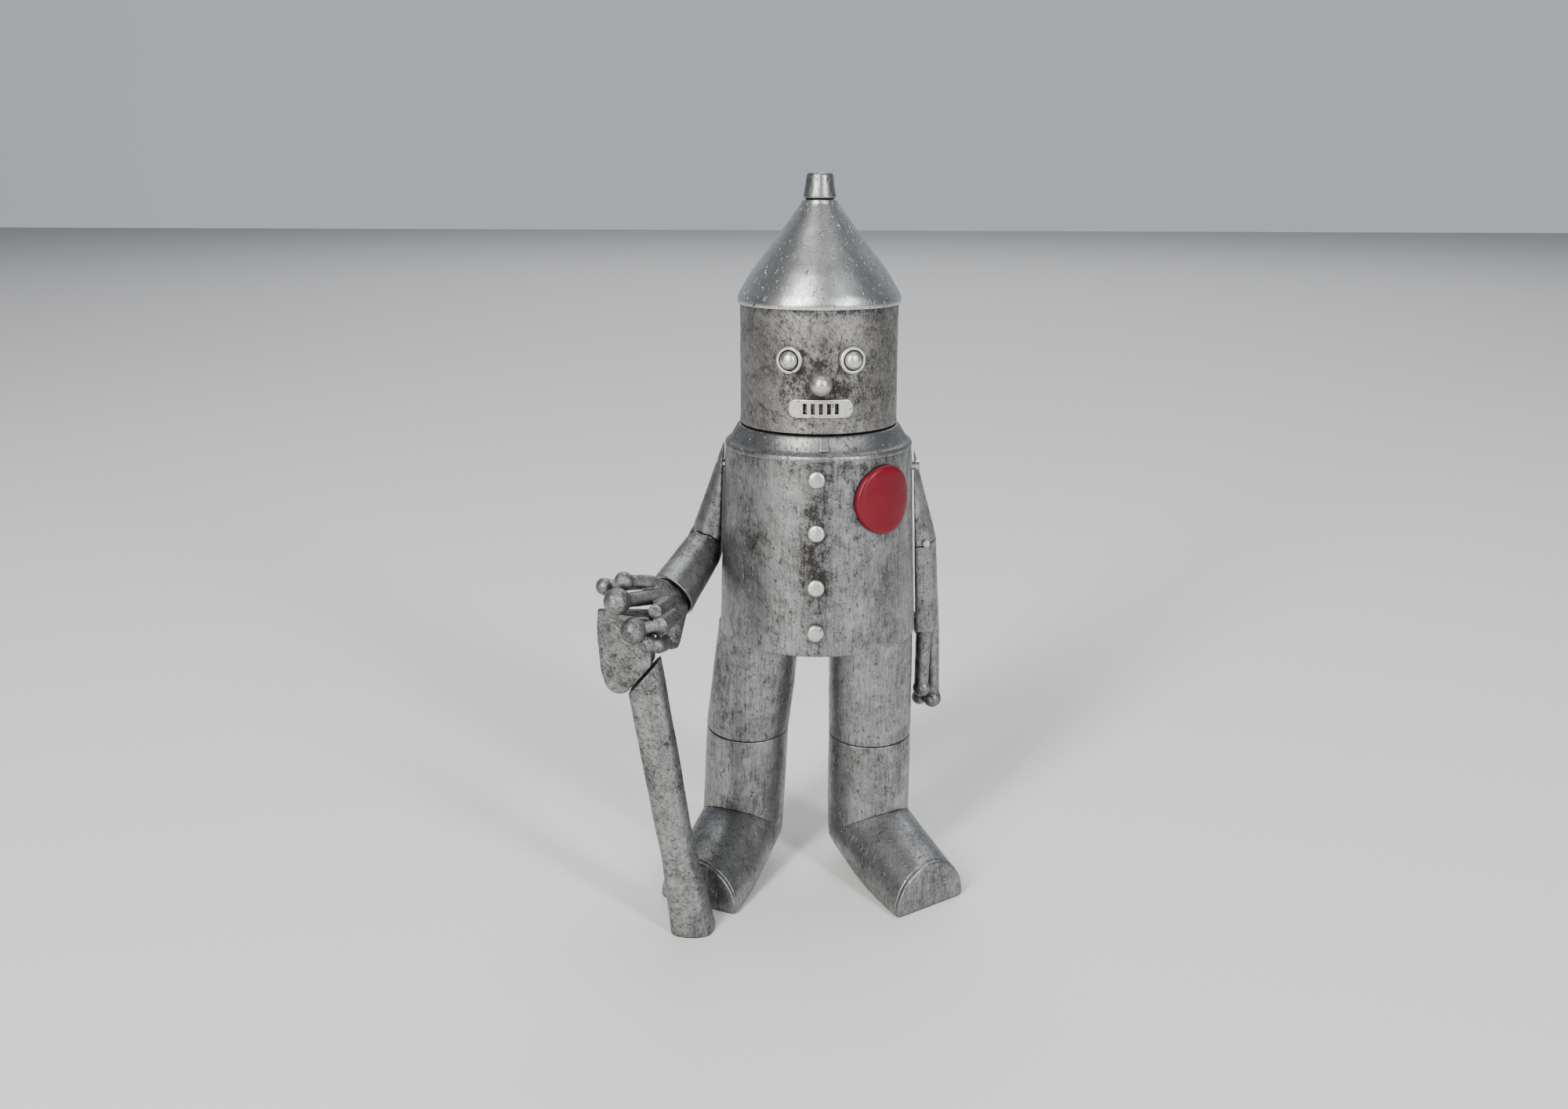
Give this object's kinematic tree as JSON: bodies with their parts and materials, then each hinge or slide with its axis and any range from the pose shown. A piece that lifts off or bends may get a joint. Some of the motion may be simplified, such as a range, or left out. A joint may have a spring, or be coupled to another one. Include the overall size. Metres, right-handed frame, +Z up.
{
  "type": "tin wind-up figure",
  "caption": "Standing wind-up tin figure with a cone cap, tube limbs and a short axe; a spring movement in its hollow body turns the head, and both arms swing.",
  "frame": {"origin": "on the floor, under the middle of the figure's outline", "axes": "+Z up; the figure faces -Y, so its right hand, with the axe, is at -X"},
  "size_m": [0.1146, 0.1002, 0.23],
  "materials": {
    "antique_tin": "tin plate, bright where rubbed, dark patina in the recesses",
    "cast_alloy": "cast light alloy, silvered and darkened in the recesses",
    "red_enamel": "glossy red enamel, dark at the rim",
    "brass": "satin",
    "steel": "bright turned",
    "blue_spring": "blued spring steel"
  },
  "bodies": {
    "casing": {"torso_front": "antique_tin", "torso_back": "antique_tin", "shoulder_collar": "antique_tin", "torso_base": "antique_tin", "chest_badge": "red_enamel", "coat_button_1": "antique_tin", "coat_button_2": "antique_tin", "coat_button_3": "antique_tin", "coat_button_4": "antique_tin", "key_bush": "brass", "neck_bush": "brass", "thigh_right": "antique_tin", "shin_right": "antique_tin", "foot_right": "antique_tin", "toe_cap_right": "antique_tin", "thigh_left": "antique_tin", "shin_left": "antique_tin", "foot_left": "antique_tin", "toe_cap_left": "antique_tin", "front_plate": "brass", "back_plate": "brass", "plate_pillar_1": "steel", "plate_pillar_2": "steel", "plate_pillar_3": "steel", "case_screw_right": "steel", "case_screw_left": "steel", "mainspring": "blue_spring"},
    "head": {"head_shell": "antique_tin", "head_floor": "antique_tin", "cap_cone": "antique_tin", "cap_spout": "antique_tin", "eye_right": "antique_tin", "eye_left": "antique_tin", "nose": "antique_tin", "mouth_plate": "antique_tin", "neck_shaft": "steel", "turn_lever": "steel"},
    "right_arm": {"upper_arm_right": "antique_tin", "forearm_right": "antique_tin", "shoulder_axle_right": "steel", "elbow_pin_right": "antique_tin", "hand_right": "cast_alloy", "axe_head": "cast_alloy", "axe_shaft": "cast_alloy"},
    "left_arm": {"upper_arm_left": "antique_tin", "forearm_left": "antique_tin", "shoulder_axle_left": "steel", "elbow_pin_left": "antique_tin", "hand_left": "cast_alloy"},
    "great_wheel": {"great_wheel": "brass"},
    "click": {"ratchet_click": "steel"},
    "key": {"winding_arbor": "steel", "ratchet_wheel": "steel", "winding_key": "antique_tin"},
    "second_arbor": {"second_wheel": "brass", "crank_disc": "steel"},
    "third_arbor": {"third_wheel": "brass"},
    "fan": {"fan_pinion": "steel", "fan_vanes": "brass"}
  },
  "joints": [
    {"name": "head_turn", "type": "hinge", "parent": "casing", "child": "head", "pos_m": [0.00841, 0.00065, 0.15], "axis": [0, 0, 1], "range_deg": [-12, 12]},
    {"name": "right_shoulder", "type": "hinge", "parent": "casing", "child": "right_arm", "pos_m": [-0.02359, 0.00065, 0.141], "axis": [-1, 0, 0], "range_deg": [0, 80]},
    {"name": "left_shoulder", "type": "hinge", "parent": "casing", "child": "left_arm", "pos_m": [0.04041, 0.00065, 0.141], "axis": [-1, 0, 0], "range_deg": [-20, 90]},
    {"name": "great_wheel_spin", "type": "hinge", "parent": "casing", "child": "great_wheel", "pos_m": [0.00841, 0.00065, 0.106], "axis": [0, 1, 0], "continuous": true},
    {"name": "key_wind", "type": "hinge", "parent": "great_wheel", "child": "key", "pos_m": [0.00841, 0.03065, 0.106], "axis": [0, 1, 0], "continuous": true},
    {"name": "click_lift", "type": "hinge", "parent": "great_wheel", "child": "click", "pos_m": [-0.00019, -0.0017, 0.1104], "axis": [0, -1, 0], "range_deg": [0, 20]},
    {"name": "second_arbor_spin", "type": "hinge", "parent": "casing", "child": "second_arbor", "pos_m": [0.00841, 0.00065, 0.1234], "axis": [0, 1, 0], "continuous": true},
    {"name": "third_arbor_spin", "type": "hinge", "parent": "casing", "child": "third_arbor", "pos_m": [0.02031, 0.00065, 0.1291], "axis": [0, 1, 0], "continuous": true},
    {"name": "fan_spin", "type": "hinge", "parent": "casing", "child": "fan", "pos_m": [0.02632, 0.00065, 0.11871], "axis": [0, 1, 0], "continuous": true}
  ],
  "couplings": [
    {"joint": "second_arbor_spin", "follows": "great_wheel_spin", "ratio": -4.8},
    {"joint": "third_arbor_spin", "follows": "great_wheel_spin", "ratio": 21.6},
    {"joint": "fan_spin", "follows": "great_wheel_spin", "ratio": -86.4}
  ]
}
